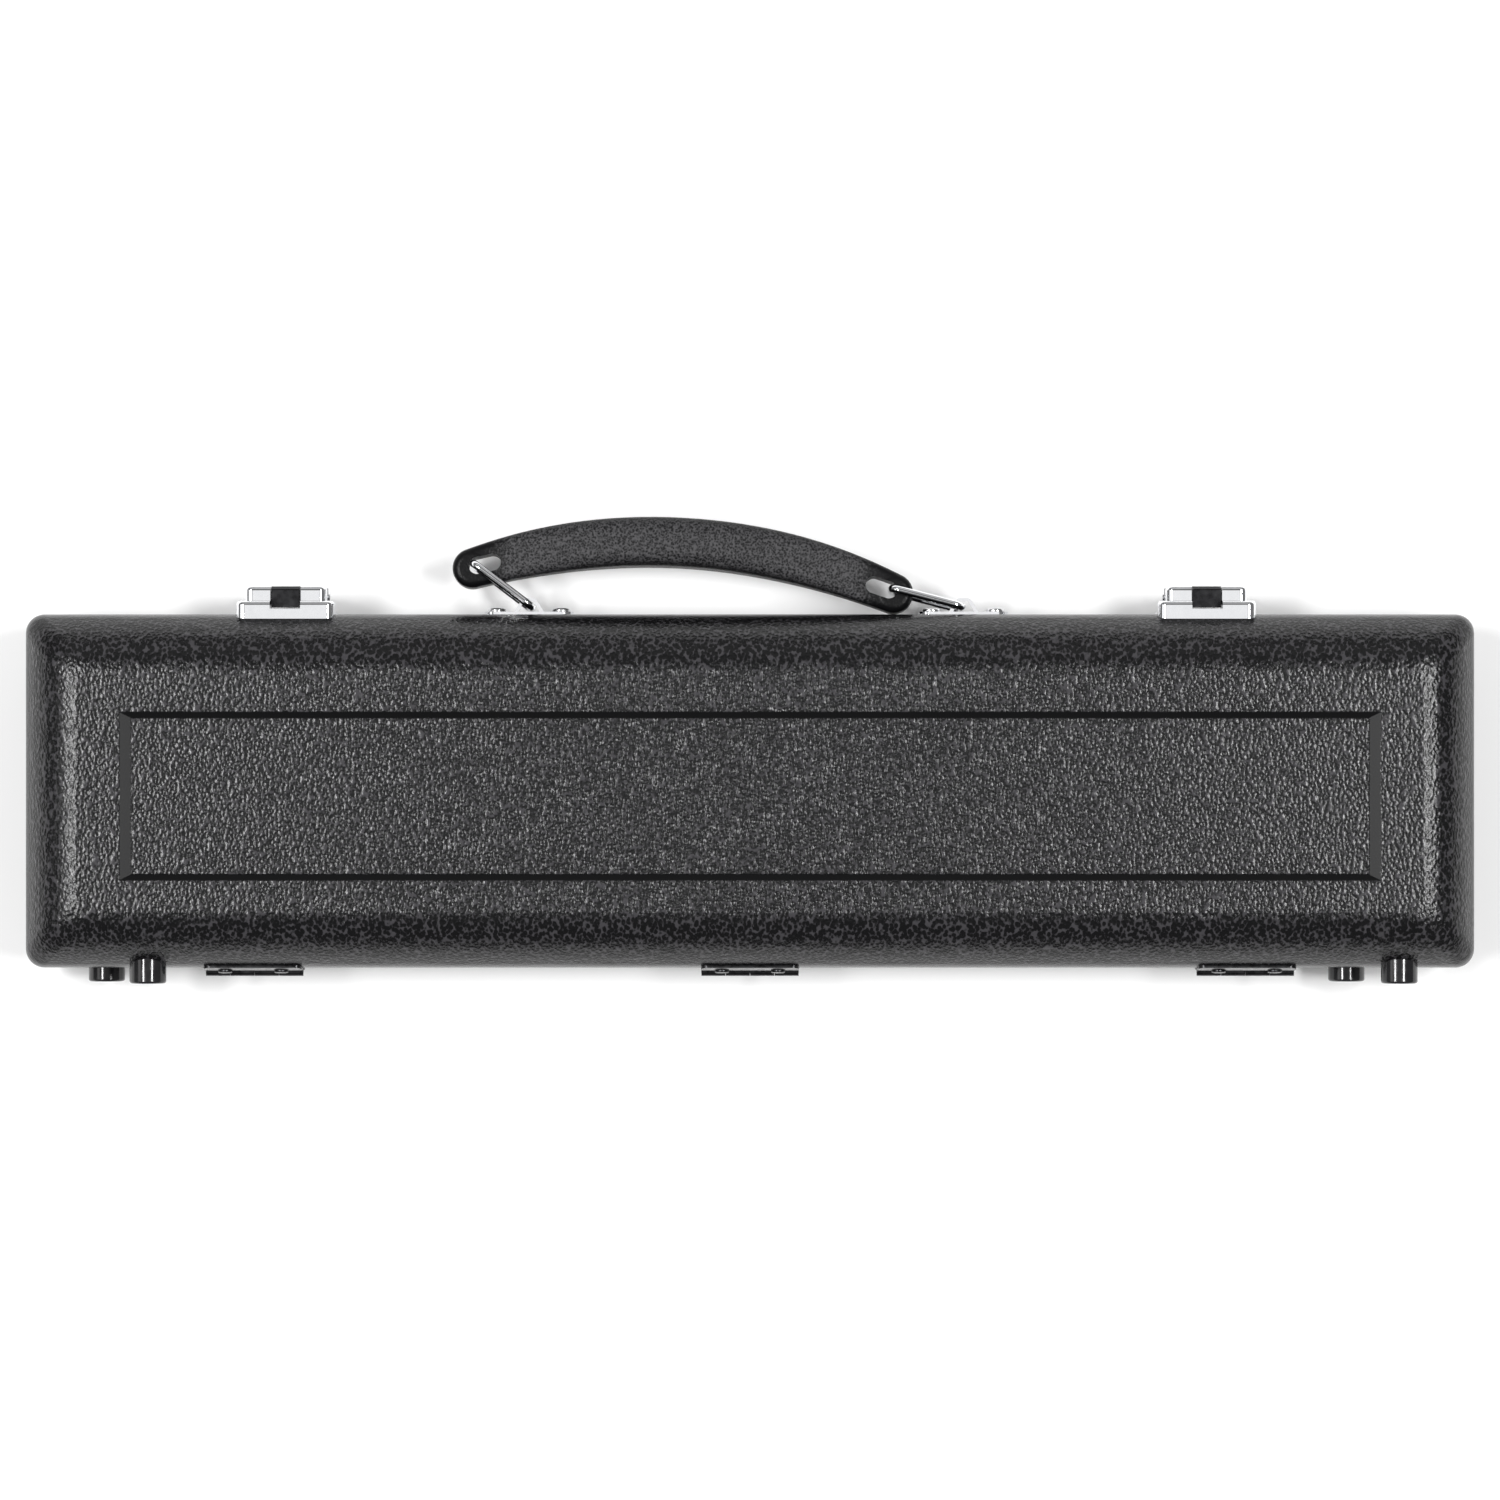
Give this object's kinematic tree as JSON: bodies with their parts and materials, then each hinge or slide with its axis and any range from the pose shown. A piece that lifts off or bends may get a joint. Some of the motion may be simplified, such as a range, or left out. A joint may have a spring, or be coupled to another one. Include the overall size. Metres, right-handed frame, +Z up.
{
  "type": "flute case",
  "caption": "Hard moulded carrying case for a concert flute: draw latches, ringed handle, riveted hinges, glides and a plush-lined inside.",
  "frame": {"origin": "middle of the base's bottom face, on which the closed case rests", "axes": "+X along the case, +Y towards the hinges, -Y towards the handle and latches, +Z up"},
  "size_m": [0.424, 0.1367, 0.052],
  "materials": {
    "shell": "black ABS, leather grain",
    "glide": "glossy black",
    "hinge": "black enamelled steel",
    "pin": "bright steel",
    "chrome": "chrome-plated pressed steel",
    "rivet": "nickel-plated",
    "claw": "blackened spring steel",
    "grip": "black moulded, fine grain",
    "plush": "short black plush"
  },
  "bodies": {
    "base": {"base_shell": "shell", "base_feet": "glide", "hinge_right_base_leaf": "hinge", "hinge_right_pin": "pin", "hinge_middle_base_leaf": "hinge", "hinge_middle_pin": "pin", "hinge_left_base_leaf": "hinge", "hinge_left_pin": "pin", "hinge_rivets_base": "hinge", "latch_right_plate": "chrome", "latch_right_lever_pivots": "pin", "latch_left_plate": "chrome", "latch_left_lever_pivots": "pin", "latch_rivets_base": "rivet", "ring_left_plate": "chrome", "ring_right_plate": "chrome", "ring_plate_rivets": "rivet", "tray_floor": "plush", "tray_walls": "plush", "tray_rails": "plush", "tray_blocks": "plush", "tray_coves": "plush"},
    "lid": {"lid_shell": "shell", "lid_feet": "glide", "hinge_right_lid_leaf": "hinge", "hinge_middle_lid_leaf": "hinge", "hinge_left_lid_leaf": "hinge", "hinge_rivets_lid": "hinge", "latch_right_catch": "chrome", "latch_left_catch": "chrome", "latch_rivets_lid": "rivet", "lid_lining": "plush", "lid_pad": "plush"},
    "lever_left": {"latch_left_lever": "chrome", "latch_left_claw_pin": "pin"},
    "lever_right": {"latch_right_lever": "chrome", "latch_right_claw_pin": "pin"},
    "claw_left": {"latch_left_claw": "claw"},
    "claw_right": {"latch_right_claw": "claw"},
    "ring_left": {"ring_left": "chrome"},
    "ring_right": {"ring_right": "chrome"},
    "handle": {"handle": "grip"}
  },
  "joints": [
    {"name": "lid_hinge", "type": "hinge", "parent": "base", "child": "lid", "pos_m": [0, 0.05305, 0.026], "axis": [-1, 0, 0], "range_deg": [0, 105]},
    {"name": "lever_right_turn", "type": "hinge", "parent": "base", "child": "lever_right", "pos_m": [-0.1335, -0.05675, 0.023], "axis": [-1, 0, 0], "range_deg": [0, 100]},
    {"name": "claw_right_turn", "type": "hinge", "parent": "lever_right", "child": "claw_right", "pos_m": [-0.1335, -0.05595, 0.0175], "axis": [-1, 0, 0], "range_deg": [-110, 0]},
    {"name": "lever_left_turn", "type": "hinge", "parent": "base", "child": "lever_left", "pos_m": [0.1357, -0.05675, 0.023], "axis": [-1, 0, 0], "range_deg": [0, 100]},
    {"name": "claw_left_turn", "type": "hinge", "parent": "lever_left", "child": "claw_left", "pos_m": [0.1357, -0.05595, 0.0175], "axis": [-1, 0, 0], "range_deg": [-110, 0]},
    {"name": "ring_left_swing", "type": "hinge", "parent": "base", "child": "ring_left", "pos_m": [0.0643, -0.05385, 0.0195], "axis": [0, 0.0523, -0.9986], "range_deg": [0, 128.5]},
    {"name": "ring_right_swing", "type": "hinge", "parent": "base", "child": "ring_right", "pos_m": [-0.0621, -0.05385, 0.0195], "axis": [0, 0.0523, -0.9986], "range_deg": [0, 128.5]},
    {"name": "handle_turn", "type": "hinge", "parent": "ring_left", "child": "handle", "pos_m": [0.08109, -0.06644, 0.01884], "axis": [0, 0.0523, -0.9986], "range_deg": [-135.4, 0]}
  ],
  "couplings": [
    {"joint": "claw_right_turn", "follows": "lever_right_turn", "ratio": -1.1},
    {"joint": "claw_left_turn", "follows": "lever_left_turn", "ratio": -1.1},
    {"joint": "ring_right_swing", "follows": "ring_left_swing", "ratio": 1},
    {"joint": "handle_turn", "follows": "ring_left_swing", "ratio": -1.053}
  ]
}
